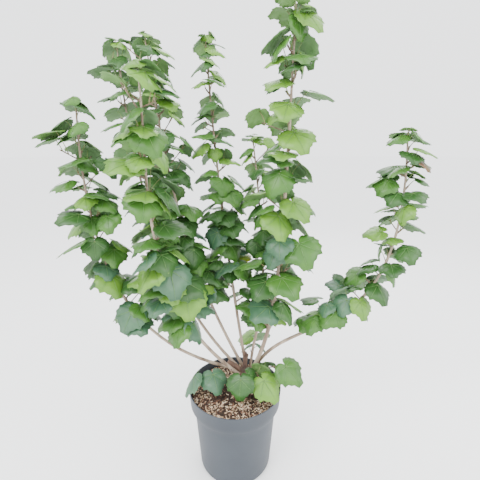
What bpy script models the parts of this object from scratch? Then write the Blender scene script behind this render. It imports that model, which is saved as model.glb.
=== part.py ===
# A redcurrant bush in its nursery pot: eight canes from one short woody stool, the foliage that
# each cane carries, and five low leafy shoots. Metres, +Z up. The origin is the centre of the
# pot's flat underside, and the front of the plant looks towards -Y.

import math
import random

import bmesh
import bpy
from mathutils import Matrix, Quaternion, Vector
from mathutils.bvhtree import BVHTree

# Between pieces that touch
GAP = 0.0003
# Points nearer than this are one
WELD = 0.0000015
# Volume that a piece shares with what it is fused to, at least
SUNK_LEAST = 2.5e-9
FUSE_TRIES = 7
FUSE_SHIFT = 0.0003

# Pot: a deep nursery container with a broad band under its rim
RIM_RADIUS = 0.135
POT_HEIGHT = 0.260
FOOT_RADIUS = 0.106
BAND_HEIGHT = 0.049
BAND_FOOT_RADIUS = 0.1315
SHOULDER_RADIUS = 0.1205
LIP = 0.0035
WALL = 0.0024
FLOOR_THICKNESS = 0.003
FOOT_ROUNDING = 0.012
POT_SEGMENTS = 48
DRAIN_SLOTS = 8
DRAIN_WIDTH = 0.012
DRAIN_LENGTH = 0.030

# Root ball: compost under wood-chip mulch, a little mounded
SOIL_EDGE_HEIGHT = 0.236
SOIL_MIDDLE_HEIGHT = 0.242
SOIL_SEGMENTS = 40

# Stool: the short woody leg that every cane leaves from
STOOL_X = 0.034
STOOL_Y = 0.030
STOOL_LEAN_X = -0.004
STOOL_FLARE_RADIUS = 0.032
STOOL_WAIST_RADIUS = 0.0165
STOOL_HEAD_RADIUS = 0.0190
STOOL_HEIGHT = 0.052
STOOL_LOBES = 5
STOOL_SIDES = 15

# Canes: foot and tip are points, a leave and an arrive are the run, tilt from the vertical and
# bearing (from +X towards +Y) of the curve's two ends. bare is where the foliage starts, as a
# share of the length. near and far are the blade length low down and at the tip, gap the
# distance between two clusters low down.
CANES = {
    "far_left": dict(
        foot=(0.020, 0.030, 0.284), tip=(-0.362, -0.017, 1.030),
        leave=(0.175, 78, 173), arrive=(0.598, -4, -178),
        thick=0.0100, bare=0.36, near=0.070, far=0.050, gap=0.062, seed=11,
    ),
    "front_left": dict(
        foot=(0.022, 0.014, 0.276), tip=(-0.176, -0.157, 1.075),
        leave=(0.400, 50, -176), arrive=(0.150, 8, -128),
        thick=0.0105, bare=0.24, near=0.076, far=0.056, gap=0.045, seed=23,
    ),
    "rear_left": dict(
        foot=(0.022, 0.046, 0.272), tip=(-0.329, 0.200, 1.215),
        leave=(0.290, 50, 165), arrive=(0.450, 13, 116),
        thick=0.0095, bare=0.26, near=0.066, far=0.048, gap=0.046, seed=37,
    ),
    "rear_middle_left": dict(
        foot=(0.028, 0.043, 0.280), tip=(-0.241, 0.170, 1.220),
        leave=(0.300, 29, 165), arrive=(0.488, 12, 127),
        thick=0.0095, bare=0.24, near=0.066, far=0.048, gap=0.044, seed=41,
    ),
    "rear": dict(
        foot=(0.035, 0.047, 0.270), tip=(-0.085, 0.235, 1.236),
        leave=(0.260, 15, 130), arrive=(0.420, 11, 112),
        thick=0.0095, bare=0.20, near=0.066, far=0.046, gap=0.044, seed=53,
    ),
    "front_right": dict(
        foot=(0.042, 0.022, 0.270), tip=(0.124, -0.086, 1.205),
        leave=(0.162, 21, -25), arrive=(0.787, 10, -94),
        thick=0.0125, bare=0.17, near=0.074, far=0.054, gap=0.040, seed=67,
    ),
    "right": dict(
        foot=(0.050, 0.031, 0.262), tip=(0.416, 0.001, 0.970),
        leave=(0.251, 12, -3), arrive=(0.655, -8, 14),
        thick=0.0105, bare=0.26, near=0.062, far=0.046, gap=0.050, seed=79,
    ),
    "rear_right": dict(
        foot=(0.045, 0.044, 0.268), tip=(0.052, 0.172, 0.960),
        leave=(0.205, 12, 70), arrive=(0.600, 13, 120),
        thick=0.0090, bare=0.22, near=0.064, far=0.044, gap=0.050, seed=83,
    ),
}
FORK_RUN = 0.055
TIP_RADIUS = 0.0018
STEP = 0.045

# Low shoots from the foot of the stool: bearing, rise of the path's end, reach, blade length,
# number of leaves, foot height on the stool
SHOOTS = {
    "left": dict(bearing=200, reach=0.120, rise=0.034, start=0.018, blade=0.066, leaves=2, seed=5),
    "front": dict(bearing=-62, reach=0.055, rise=0.045, start=0.018, blade=0.068, leaves=2, seed=8),
    "front_left": dict(bearing=-100, reach=0.060, rise=0.060, start=0.018, blade=0.058, leaves=3, seed=3),
    "right": dict(bearing=-30, reach=0.085, rise=0.072, start=0.018, blade=0.068, leaves=4, seed=9),
    "rear": dict(bearing=72, reach=0.085, rise=0.065, start=0.018, blade=0.062, leaves=4, seed=12),
}
SHOOT_FOOT = 0.0212
SHOOT_RADIUS = 0.0024

# Pruned stubs on the stool: bearing, tilt from the vertical, length, radius
STUBS = {
    "thick": dict(bearing=172, tilt=58, length=0.062, radius=0.0080),
    "upright": dict(bearing=95, tilt=6, length=0.066, radius=0.0070),
    "slim": dict(bearing=60, tilt=14, length=0.058, radius=0.0040),
}

# Leaf: palmate, as wide as long. The outline is half a blade as (side, forward) in blade lengths.
OUTLINE = [(0.30, -0.15), (0.56, 0.10), (0.57, 0.44), (0.31, 0.56)]
RIB_STATIONS = (0.30, 0.62)
BLADE_THICKNESS = 0.0020
PETIOLE_RADIUS = 0.0012
PETIOLE_LENGTH = 0.038
SPUR_RADIUS = 0.0026
SPUR_LEAST = 0.010
GOLDEN_ANGLE = 137.5
CLEARANCE = 0.0012
TRIES = 14

COLOURS = {
    "pot": (0.045, 0.052, 0.062, 0.55),
    "compost": (0.10, 0.055, 0.03, 0.95),
    "bark": (0.20, 0.15, 0.11, 0.80),
    "leaf": (0.045, 0.13, 0.025, 0.50),
}


def bearing_vector(tilt, bearing):
    """A unit vector, from a tilt from the vertical and a bearing, both in radians."""
    flat = math.sin(tilt)
    return Vector((flat * math.cos(bearing), flat * math.sin(bearing), math.cos(tilt)))


def material(name):
    red, green, blue, roughness = COLOURS[name]
    made = bpy.data.materials.new(name)
    made.use_nodes = True
    shader = made.node_tree.nodes["Principled BSDF"]
    shader.inputs["Base Color"].default_value = (red, green, blue, 1)
    shader.inputs["Roughness"].default_value = roughness
    return made


def mesh_object(name, points, faces, finish):
    """A mesh of triangles, so that each face is flat."""
    mesh = bpy.data.meshes.new(name)
    fans = [(face[0], b, c) for face in faces for b, c in zip(face[1:], face[2:])]
    mesh.from_pydata([tuple(p) for p in points], [], fans)
    mesh.materials.append(finish)
    made = bpy.data.objects.new(name, mesh)
    bpy.context.scene.collection.objects.link(made)
    return made


def turned(name, profile, segments, finish):
    """A solid turned about a vertical axis from a closed profile of (radius, height)."""
    shape = bmesh.new()
    verts = [shape.verts.new((radius, 0, height)) for radius, height in profile]
    edges = [shape.edges.new((a, b)) for a, b in zip(verts, verts[1:])]
    bmesh.ops.spin(
        shape, geom=verts + edges, cent=(0, 0, 0), axis=(0, 0, 1), angle=math.tau, steps=segments,
        use_duplicate=False,
    )
    bmesh.ops.remove_doubles(shape, verts=shape.verts, dist=1e-6)
    bmesh.ops.recalc_face_normals(shape, faces=shape.faces)
    mesh = bpy.data.meshes.new(name)
    shape.to_mesh(mesh)
    shape.free()
    mesh.materials.append(finish)
    made = bpy.data.objects.new(name, mesh)
    bpy.context.scene.collection.objects.link(made)
    mesh.shade_smooth()
    mesh.set_sharp_from_angle(angle=math.radians(40))
    return made


# Paths


def cane_curve(cane, samples=81):
    """Points along a cane, evenly spaced along its length."""
    foot, tip = Vector(cane["foot"]), Vector(cane["tip"])
    run, tilt, bearing = cane["leave"]
    leave = foot + run * bearing_vector(math.radians(tilt), math.radians(bearing))
    run, tilt, bearing = cane["arrive"]
    arrive = tip - run * bearing_vector(math.radians(tilt), math.radians(bearing))
    rough = []
    for i in range(samples):
        t = i / (samples - 1)
        u = 1 - t
        rough.append(u**3 * foot + 3 * u * u * t * leave + 3 * u * t * t * arrive + t**3 * tip)
    return even(rough, samples)


def even(points, count):
    """The same path with count points at equal distances."""
    ends = [0.0]
    for a, b in zip(points, points[1:]):
        ends.append(ends[-1] + (b - a).length)
    spaced, k = [], 0
    for i in range(count):
        want = ends[-1] * i / (count - 1)
        while k < len(points) - 2 and ends[k + 1] < want:
            k += 1
        share = (want - ends[k]) / (ends[k + 1] - ends[k])
        spaced.append(points[k].lerp(points[k + 1], share))
    return spaced


def length_of(points):
    return sum((b - a).length for a, b in zip(points, points[1:]))


def at(points, share):
    """The point and the direction at a share of an even path."""
    place = min(max(share, 0.0), 1.0) * (len(points) - 1)
    k = min(int(place), len(points) - 2)
    direction = (points[min(k + 2, len(points) - 1)] - points[max(k - 1, 0)]).normalized()
    return points[k].lerp(points[k + 1], place - k), direction


def cane_radius(cane, share):
    """A cane tapers from its foot to its tip."""
    foot = cane["thick"] / 2
    return TIP_RADIUS + (foot - TIP_RADIUS) * max(0.0, 1 - share) ** 0.9


def tube(path, radii, sides, directions=None):
    """Points and faces of a closed tapering tube, with flat ends square to its path."""
    points, faces = [], []
    if directions is None:
        directions = [at(path, i / (len(path) - 1))[1] for i in range(len(path))]
    side = directions[0].orthogonal().normalized()
    for i, (centre, direction, radius) in enumerate(zip(path, directions, radii)):
        if i:
            side = directions[i - 1].rotation_difference(direction) @ side
        up = direction.cross(side)
        for k in range(sides):
            turn = math.tau * k / sides
            points.append(centre + radius * (math.cos(turn) * side + math.sin(turn) * up))
    for i in range(len(path) - 1):
        for k in range(sides):
            a, b = i * sides + k, i * sides + (k + 1) % sides
            faces.append((a, b, b + sides, a + sides))
    faces.append(tuple(reversed(range(sides))))
    faces.append(tuple(range((len(path) - 1) * sides, len(path) * sides)))
    return points, faces


def stretch(cane, path, start, end, step=STEP):
    """The part of a cane's path between two distances from its foot: points, radii, directions."""
    whole = length_of(path)
    count = max(2, round((end - start) / step) + 1)
    shares = [(start + (end - start) * i / (count - 1)) / whole for i in range(count)]
    places = [at(path, share) for share in shares]
    radii = [cane_radius(cane, share) for share in shares]
    return [p for p, way in places], radii, [way for p, way in places]


# Leaves


def leaf_frame(leaf):
    """The blade's own forward and side directions at its base, and its up direction."""
    ahead = bearing_vector(math.pi / 2 + leaf["pitch"], leaf["bearing"])
    side = Vector((math.sin(leaf["bearing"]), -math.cos(leaf["bearing"]), 0))
    turn = Quaternion(ahead, leaf["roll"])
    return ahead, turn @ side, turn @ side.cross(ahead)


def on_blade(leaf, side_share, forward_share, lift):
    """A point of the blade: the rib bends down evenly and the halves fold down from it."""
    ahead, side, up = leaf_frame(leaf)
    size, bend, fold = leaf["size"], leaf["bend"], leaf["fold"]
    turn = bend * forward_share
    along = size * math.sin(turn) / bend
    drop = size * (1 - math.cos(turn)) / bend
    normal = math.sin(turn) * ahead + math.cos(turn) * up
    out = side_share * size
    spread = out * math.cos(fold) * side - abs(out) * math.sin(fold) * normal
    return leaf["base"] + along * ahead - drop * up + spread + lift * normal


def petiole_path(leaf):
    """From the twig up and outwards, then level into the blade."""
    root, base = leaf["root"], leaf["base"]
    ahead = leaf_frame(leaf)[0]
    middle = root.lerp(base, 0.5) + leaf["arch"] * (base - root).length * (Vector((0, 0, 1)) - 0.6 * ahead)
    return [root, middle, base]


def blade_shell(leaf, thickness, grow=1.0):
    """A lens-shaped palmate blade and its petiole as one closed shell."""
    half = thickness / 2
    right = [(side * grow, ahead * grow) for side, ahead in OUTLINE]
    left = [(-side, ahead) for side, ahead in right]
    size = leaf["size"]
    neck = PETIOLE_RADIUS / size
    points = [on_blade(leaf, -neck, 0, half * 0.5), on_blade(leaf, neck, 0, half * 0.5)]
    points.append(on_blade(leaf, 0, 0, -2 * PETIOLE_RADIUS))
    points += [on_blade(leaf, side, ahead, 0) for side, ahead in left]
    points += [on_blade(leaf, side, ahead, 0) for side, ahead in right]
    points.append(on_blade(leaf, 0, grow, 0))
    points += [on_blade(leaf, 0, station, half) for station in RIB_STATIONS]
    points += [on_blade(leaf, 0, station, -half) for station in RIB_STATIONS]
    neck_left, neck_right, keel, tip = 0, 1, 2, 11
    faces = []
    for hand, neck_end, first in (("left", neck_left, 3), ("right", neck_right, 7)):
        basal, outer, lobe, sinus = range(first, first + 4)
        for upper, near, far in ((True, 12, 13), (False, 14, 15)):
            start = neck_end
            ring = [
                (start, basal, near),
                (basal, outer, near),
                (outer, lobe, near),
                (near, lobe, far),
                (lobe, sinus, far),
                (sinus, tip, far),
            ]
            flip = (hand == "left") == upper
            faces += [tuple(reversed(face)) if flip else face for face in ring]
    faces += [(neck_left, neck_right, 12), (keel, neck_left, 14), (neck_right, keel, 14)]
    root, middle, base = petiole_path(leaf)
    path = [base, middle, root]
    ring = [neck_left, neck_right, keel]
    centre = (points[neck_left] + points[neck_right] + points[keel]) / 3
    spokes = [points[i] - centre for i in ring]
    for end, thin in ((middle, 0.9), (root, 1.1)):
        start = len(points)
        before = path[0] if end is middle else middle
        turn = (path[0] - middle).rotation_difference(before - end)
        points += [end + thin * (turn @ spoke) for spoke in spokes]
        fresh = list(range(start, start + 3))
        for k in range(3):
            a, b = ring[k], ring[(k + 1) % 3]
            c, d = fresh[(k + 1) % 3], fresh[k]
            faces += [(b, a, d, c)]
        ring = fresh
    faces.append(tuple(reversed(ring)))
    return points, faces


def proxy(points, faces, only=None):
    used = faces if only is None else faces[:only]
    middle = sum(points, Vector()) / len(points)
    reach = max((p - middle).length for p in points)
    return dict(tree=BVHTree.FromPolygons([tuple(p) for p in points], used), middle=middle, reach=reach)


def meets(one, other):
    apart = (one["middle"] - other["middle"]).length
    return apart < one["reach"] + other["reach"] and bool(one["tree"].overlap(other["tree"]))


BLADE_FACES = 27


def over_pot(points):
    """True where a leaf keeps out of the pot and its root ball."""
    for p in points:
        if p.z < POT_HEIGHT + 0.004 and math.hypot(p.x, p.y) < RIM_RADIUS + 0.004:
            if p.z < SOIL_MIDDLE_HEIGHT + 0.006 or math.hypot(p.x, p.y) > RIM_RADIUS - 0.012:
                return False
    return True


class Crown:
    """Everything placed so far, so that each new twig and leaf keeps clear of it."""

    def __init__(self):
        self.limbs = []
        self.leaves = []

    def add_limb(self, label, path, radii, directions=None):
        points, faces = tube(path, [r + CLEARANCE for r in radii], 6, directions)
        self.limbs.append((label, proxy(points, faces)))

    def room_for_spur(self, owner, spur):
        points, faces = tube(spur["path"], [r + CLEARANCE for r in spur["radii"]], 6)
        made = proxy(points, faces)
        for label, limb in self.limbs:
            if label != owner and meets(made, limb):
                return False
        return not any(meets(made, whole) for cluster, whole, blade in self.leaves)

    def free(self, owner, cluster, leaf):
        points, faces = blade_shell(leaf, BLADE_THICKNESS + CLEARANCE, 1.04)
        if not over_pot(points):
            return None
        whole, blade = proxy(points, faces), proxy(points, faces, BLADE_FACES)
        for label, limb in self.limbs:
            if meets(blade if label in (owner, cluster) else whole, limb):
                return None
        for label, other, other_blade in self.leaves:
            if label != cluster:
                if meets(whole, other):
                    return None
            elif meets(blade, other) or meets(whole, other_blade):
                return None
        return whole, blade

    def place(self, owner, cluster, leaf, rng):
        """The leaf as asked, or turned, drooped and shrunk a little until it is clear."""
        for k in range(TRIES):
            made = self.free(owner, cluster, leaf)
            if made:
                self.leaves.append((cluster, *made))
                return leaf
            leaf = dict(leaf)
            swing = rng.uniform(-1, 1) * (0.25 + 0.07 * k)
            leaf["bearing"] += swing
            leaf["pitch"] = min(1.25, max(-0.3, leaf["pitch"] + rng.uniform(-0.3, 0.3)))
            leaf["size"] *= 0.975
            reach = leaf["base"] - leaf["root"]
            leaf["base"] = leaf["root"] + Matrix.Rotation(swing, 3, "Z") @ reach
            leaf["base"].z += rng.uniform(-0.006, 0.008)
        return None


def new_leaf(rng, root, direction, bearing, size, stalk, vigour):
    """A leaf on a petiole of length stalk. Its blade leans out and down, the older the more."""
    rise = math.radians(rng.uniform(28, 62)) + 0.25 * vigour
    out = Vector((math.cos(bearing), math.sin(bearing), 0))
    reach = math.cos(rise) * out + math.sin(rise) * (0.35 * direction + Vector((0, 0, 0.75)))
    return dict(
        root=root,
        base=root + stalk * reach.normalized(),
        bearing=bearing + rng.uniform(-0.35, 0.35),
        pitch=math.radians(rng.uniform(8, 58)) - 0.35 * vigour,
        roll=math.radians(rng.uniform(-22, 22)),
        bend=math.radians(rng.uniform(14, 46)),
        fold=math.radians(rng.uniform(4, 24)),
        arch=rng.uniform(0.04, 0.14),
        size=size,
    )


def grow_cane(crown, name, cane):
    """The spurs and leaves of one cane: clusters at the golden angle, then a rosette."""
    rng = random.Random(cane["seed"])
    path = cane_curve(cane)
    whole = length_of(path)
    spurs, leaves = [], []
    place = cane["bare"] * whole + 0.020
    bearing = rng.uniform(0, math.tau)
    while place < whole - 0.035:
        share = place / whole
        height = (share - cane["bare"]) / (1 - cane["bare"])
        root, direction = at(path, share)
        bearing += math.radians(GOLDEN_ANGLE + rng.uniform(-18, 18))
        size = cane["near"] + (cane["far"] - cane["near"]) * height
        count = 3 if height < 0.35 else 2
        if height > 0.55:
            count = rng.choice((1, 2, 2))
        spur_length = SPUR_LEAST + (0.026 - 0.022 * height) * rng.uniform(0.4, 1.3)
        tilt = math.radians(rng.uniform(42, 66))
        spur_end = root + spur_length * bearing_vector(tilt, bearing)
        spur_radii = [SPUR_RADIUS * w for w in (1.05, 0.9, 1.0)]
        spur = dict(path=[root, root.lerp(spur_end, 0.5), spur_end], radii=spur_radii)
        cluster = f"{name} spur {len(spurs)}"
        room = crown.room_for_spur(name, spur)
        if room:
            crown.add_limb(cluster, spur["path"], spur["radii"])
        kept = []
        for k in range(count if room else 0):
            fan = (k - (count - 1) / 2) * math.radians(74) + rng.uniform(-0.25, 0.25)
            start = root.lerp(spur_end, 0.86 - 0.26 * k)
            grown = size * rng.uniform(0.82, 1.12)
            stalk = PETIOLE_LENGTH * rng.uniform(0.75, 1.3) * grown / 0.066
            leaf = new_leaf(rng, start, direction, bearing + fan, grown, stalk, height * 0.6)
            placed = crown.place(name, cluster, leaf, rng)
            if placed:
                kept.append(placed)
        if room:
            spurs.append(spur)
            leaves += kept
        place += cane["gap"] * (1 - 0.42 * height) * rng.uniform(0.85, 1.15)
    for k in range(6):
        share = 1 - (0.030 - 0.005 * k) / whole
        root, direction = at(path, share)
        bearing += math.radians(GOLDEN_ANGLE)
        grown = cane["far"] * (1 - 0.13 * k) * rng.uniform(0.9, 1.05)
        leaf = new_leaf(rng, root, direction, bearing, grown, 0.030 * (1 - 0.08 * k), 0.7 + 0.12 * k)
        placed = crown.place(name, name + " tip", leaf, rng)
        if placed:
            leaves.append(placed)
    return spurs, leaves


def shoot_curve(shoot):
    """A thin shoot that leaves the stool, arches over and ends level."""
    bearing = math.radians(shoot["bearing"])
    foot = Vector((STOOL_X, STOOL_Y, SOIL_MIDDLE_HEIGHT + shoot["start"]))
    out = Vector((math.cos(bearing), math.sin(bearing), 0))
    foot += out * SHOOT_FOOT
    end = foot + shoot["reach"] * out + Vector((0, 0, shoot["rise"]))
    leave = foot + 0.45 * shoot["reach"] * (out + Vector((0, 0, 0.5 + shoot["rise"] / shoot["reach"])))
    arrive = end - 0.4 * shoot["reach"] * out
    rough = []
    for i in range(25):
        t = i / 24
        u = 1 - t
        rough.append(u**3 * foot + 3 * u * u * t * leave + 3 * u * t * t * arrive + t**3 * end)
    return even(rough, 25)


def grow_shoot(crown, name, shoot):
    rng = random.Random(shoot["seed"])
    path = shoot_curve(shoot)
    bearing = math.radians(shoot["bearing"])
    leaves = []
    for k in range(shoot["leaves"]):
        share = 0.97 - 0.62 * k / max(1, shoot["leaves"])
        root, direction = at(path, share)
        turn = 0 if k == 0 else (1 if k % 2 else -1) * math.radians(rng.uniform(50, 80))
        size = shoot["blade"] * (1 - 0.09 * k)
        leaf = new_leaf(rng, root, direction, bearing + turn, size, 0.026, 0.1)
        leaf["pitch"] = math.radians(rng.uniform(30, 50))
        placed = crown.place(name, name + " tip", leaf, rng)
        if placed:
            leaves.append(placed)
    return leaves


# Solids


def whole_body(mesh):
    """The same mesh with only its largest connected surface: sealed hollows and scraps go."""
    shape = bmesh.new()
    shape.from_mesh(mesh)
    left, bodies = set(shape.faces), []
    while left:
        body, edge = set(), {left.pop()}
        while edge:
            body |= edge
            edge = {other for face in edge for e in face.edges for other in e.link_faces} - body
        left -= body
        bodies.append(body)
    bodies.sort(key=len)
    for body in bodies[:-1]:
        bmesh.ops.delete(shape, geom=list(body), context="FACES")
    shape.to_mesh(mesh)
    shape.free()


def closed(mesh):
    """True if every edge has its two faces, also once points that all but touch are merged."""
    shape = bmesh.new()
    shape.from_mesh(mesh)
    bmesh.ops.remove_doubles(shape, verts=shape.verts, dist=WELD)
    whole = all(edge.is_manifold for edge in shape.edges) and all(v.is_manifold for v in shape.verts)
    shape.free()
    return whole


def volume(mesh):
    shape = bmesh.new()
    shape.from_mesh(mesh)
    inside = shape.calc_volume()
    shape.free()
    return inside


def flatten(mesh):
    """Splits every face into triangles."""
    shape = bmesh.new()
    shape.from_mesh(mesh)
    bmesh.ops.triangulate(shape, faces=shape.faces)
    shape.to_mesh(mesh)
    shape.free()


def joined(made, points, faces, finish):
    """What a solid is with one more piece fused to it, or None if they only graze each other."""
    extra = mesh_object("piece", points, faces, finish)
    alone = volume(extra.data)
    union = made.modifiers.new("union", "BOOLEAN")
    union.operation = "UNION"
    union.solver = "MANIFOLD"
    union.object = extra
    evaluated = made.evaluated_get(bpy.context.evaluated_depsgraph_get())
    mesh = bpy.data.meshes.new_from_object(evaluated)
    made.modifiers.clear()
    bpy.data.objects.remove(extra)
    flatten(mesh)
    whole_body(mesh)
    sunk = volume(made.data) + alone - volume(mesh)
    return mesh if sunk > SUNK_LEAST and closed(mesh) else None


def fuse(name, pieces, finish):
    """One solid from overlapping closed pieces, joined piece by piece. A piece that isn't sunk
    in is tried again a hair aside, and left out if that doesn't help."""
    made = mesh_object(name, *pieces[0], finish)
    rng = random.Random(name)
    for points, faces in pieces[1:]:
        for k in range(FUSE_TRIES):
            aside = Vector([rng.uniform(-1, 1) for axis in range(3)]) * (FUSE_SHIFT if k else 0)
            mesh = joined(made, [p + aside for p in points], faces, finish)
            if mesh:
                made.data = mesh
                break
        else:
            print(name, "leaves out a piece")
    return made


def cut(target, cutter):
    """Takes a cutter out of a solid, and applies it."""
    trim = target.modifiers.new("cut", "BOOLEAN")
    trim.operation = "DIFFERENCE"
    trim.object = cutter
    evaluated = target.evaluated_get(bpy.context.evaluated_depsgraph_get())
    trimmed = bpy.data.meshes.new_from_object(evaluated)
    target.modifiers.clear()
    target.data = trimmed
    bpy.data.objects.remove(cutter)


def wall_radius(height, inset=0.0):
    """The pot's outer radius below its band."""
    share = height / (POT_HEIGHT - BAND_HEIGHT)
    return FOOT_RADIUS + (SHOULDER_RADIUS - FOOT_RADIUS) * share - inset


def build_pot(finish):
    band_foot = POT_HEIGHT - BAND_HEIGHT
    rounding = []
    for k in range(4):
        turn = math.radians(90) * k / 3
        out = wall_radius(FOOT_ROUNDING) - FOOT_ROUNDING + FOOT_ROUNDING * math.sin(turn)
        rounding.append((out, FOOT_ROUNDING * (1 - math.cos(turn))))
    outside = [
        (0, 0),
        *rounding,
        (wall_radius(band_foot), band_foot),
        (BAND_FOOT_RADIUS - 0.0015, band_foot + 0.001),
        (BAND_FOOT_RADIUS, band_foot + 0.003),
        (RIM_RADIUS - 0.0012, POT_HEIGHT - 0.002),
        (RIM_RADIUS - 0.0022, POT_HEIGHT),
    ]
    inside = [
        (RIM_RADIUS - LIP, POT_HEIGHT),
        (RIM_RADIUS - LIP - 0.0012, POT_HEIGHT - 0.003),
        (BAND_FOOT_RADIUS - LIP, band_foot + 0.006),
        (wall_radius(band_foot, WALL), band_foot - 0.006),
        (wall_radius(FLOOR_THICKNESS, WALL) - 0.004, FLOOR_THICKNESS),
        (0, FLOOR_THICKNESS),
    ]
    pot = turned("pot", outside + inside, POT_SEGMENTS, finish)
    for k in range(DRAIN_SLOTS):
        turn = math.tau * (k + 0.5) / DRAIN_SLOTS
        bpy.ops.mesh.primitive_cube_add(
            size=1,
            location=(math.cos(turn) * FOOT_RADIUS, math.sin(turn) * FOOT_RADIUS, 0),
            rotation=(0, 0, turn),
            scale=(DRAIN_LENGTH, DRAIN_WIDTH, 0.012),
        )
        cut(pot, bpy.context.object)
    return pot


def build_soil(finish):
    low = FLOOR_THICKNESS + GAP
    band_foot = POT_HEIGHT - BAND_HEIGHT
    flat = STOOL_FLARE_RADIUS + math.hypot(STOOL_X, STOOL_Y) + 0.004
    profile = [
        (0, low),
        (wall_radius(low, WALL) - 0.006, low),
        (wall_radius(band_foot, WALL) - 0.0012, band_foot - 0.007),
        (BAND_FOOT_RADIUS - LIP - 0.0012, band_foot + 0.006),
        (BAND_FOOT_RADIUS - LIP + 0.0002, SOIL_EDGE_HEIGHT),
        (flat + 0.020, SOIL_MIDDLE_HEIGHT - 0.001),
        (flat, SOIL_MIDDLE_HEIGHT),
        (0, SOIL_MIDDLE_HEIGHT),
    ]
    return turned("root_ball", profile, SOIL_SEGMENTS, finish)


def build_stool(finish, paths):
    """Leg with a lobed root flare, the first run of every cane, and the pruned stubs."""
    ground = SOIL_MIDDLE_HEIGHT + GAP
    rings = [
        (0.000, STOOL_FLARE_RADIUS),
        (0.006, 0.75 * STOOL_FLARE_RADIUS),
        (0.016, STOOL_WAIST_RADIUS + 0.002),
        (0.028, STOOL_WAIST_RADIUS),
        (0.040, STOOL_HEAD_RADIUS),
        (STOOL_HEIGHT, 0.55 * STOOL_HEAD_RADIUS),
    ]
    points, faces = [], []
    for height, radius in rings:
        share = height / STOOL_HEIGHT
        lobing = 0.16 * (1 - share) ** 2
        for k in range(STOOL_SIDES):
            turn = math.tau * k / STOOL_SIDES
            out = radius * (1 + lobing * math.cos(STOOL_LOBES * turn))
            x = STOOL_X + STOOL_LEAN_X * share + out * math.cos(turn)
            y = STOOL_Y + out * math.sin(turn)
            points.append(Vector((x, y, ground + height)))
    for i in range(len(rings) - 1):
        for k in range(STOOL_SIDES):
            a, b = i * STOOL_SIDES + k, i * STOOL_SIDES + (k + 1) % STOOL_SIDES
            faces.append((a, b, b + STOOL_SIDES, a + STOOL_SIDES))
    faces.append(tuple(reversed(range(STOOL_SIDES))))
    faces.append(tuple(range((len(rings) - 1) * STOOL_SIDES, len(rings) * STOOL_SIDES)))
    pieces = [(points, faces)]
    heart = Vector((STOOL_X + STOOL_LEAN_X * 0.6, STOOL_Y, ground + 0.026))
    for name, cane in CANES.items():
        run = stretch(cane, paths[name], 0, FORK_RUN, 0.014)
        first = heart.lerp(run[0][0], 0.35)
        radii = [run[1][0] * 1.25] + [run[1][0] * 1.12] + run[1][1:]
        pieces.append(tube([first] + run[0], radii, 8, [run[2][0]] + run[2]))
    head = Vector((STOOL_X + STOOL_LEAN_X, STOOL_Y, ground + 0.036))
    for stub in STUBS.values():
        way = bearing_vector(math.radians(stub["tilt"]), math.radians(stub["bearing"]))
        path = [head + way * stub["length"] * k / 3 for k in range(4)]
        swell = (1.15, 1.0, 0.92, 1.0)
        pieces.append(tube(path, [stub["radius"] * s for s in swell], 9))
    return fuse("stool", pieces, finish)


def main():
    for old in list(bpy.data.objects):
        bpy.data.objects.remove(old)
    pot_finish, soil_finish = material("pot"), material("compost")
    bark, green = material("bark"), material("leaf")

    paths = {name: cane_curve(cane) for name, cane in CANES.items()}
    build_pot(pot_finish)
    build_soil(soil_finish)
    build_stool(bark, paths)

    crown = Crown()
    stems = {}
    for name, cane in CANES.items():
        whole = length_of(paths[name])
        split = cane["bare"] * whole
        path, radii, directions = stretch(cane, paths[name], FORK_RUN + GAP, split)
        mesh_object("cane_" + name, *tube(path, radii, 8, directions), bark)
        stems[name] = stretch(cane, paths[name], split + GAP, whole)
        crown.add_limb("cane_" + name, *stretch(cane, paths[name], 0, split))
        crown.add_limb(name, *stretch(cane, paths[name], split + GAP, whole))
    for name, shoot in SHOOTS.items():
        path = shoot_curve(shoot)
        stems["low_" + name] = (
            [at(path, k / 4)[0] for k in range(5)],
            [SHOOT_RADIUS * (1 - 0.45 * k / 4) for k in range(5)],
            None,
        )
        crown.add_limb("low_" + name, *stems["low_" + name])

    grown = {}
    for name, shoot in SHOOTS.items():
        grown["low_" + name] = ([], grow_shoot(crown, "low_" + name, shoot))
    for name, cane in CANES.items():
        grown[name] = grow_cane(crown, name, cane)
    for name, (spurs, leaves) in grown.items():
        path, radii, directions = stems[name]
        pieces = [tube(path, radii, 6, directions)]
        pieces += [tube(spur["path"], spur["radii"], 5) for spur in spurs]
        pieces += [blade_shell(leaf, BLADE_THICKNESS) for leaf in leaves]
        fuse("foliage_" + name, pieces, green)
    print("leaves", {name: len(leaves) for name, (spurs, leaves) in grown.items()})


main()
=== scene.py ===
# Potted redcurrant bush: lobed leaves on eight canes, bark, mulch and a dark grey pot.
import math
import random

import bpy
from mathutils import Matrix, Quaternion, Vector, noise
from mathutils.bvhtree import BVHTree


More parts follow.
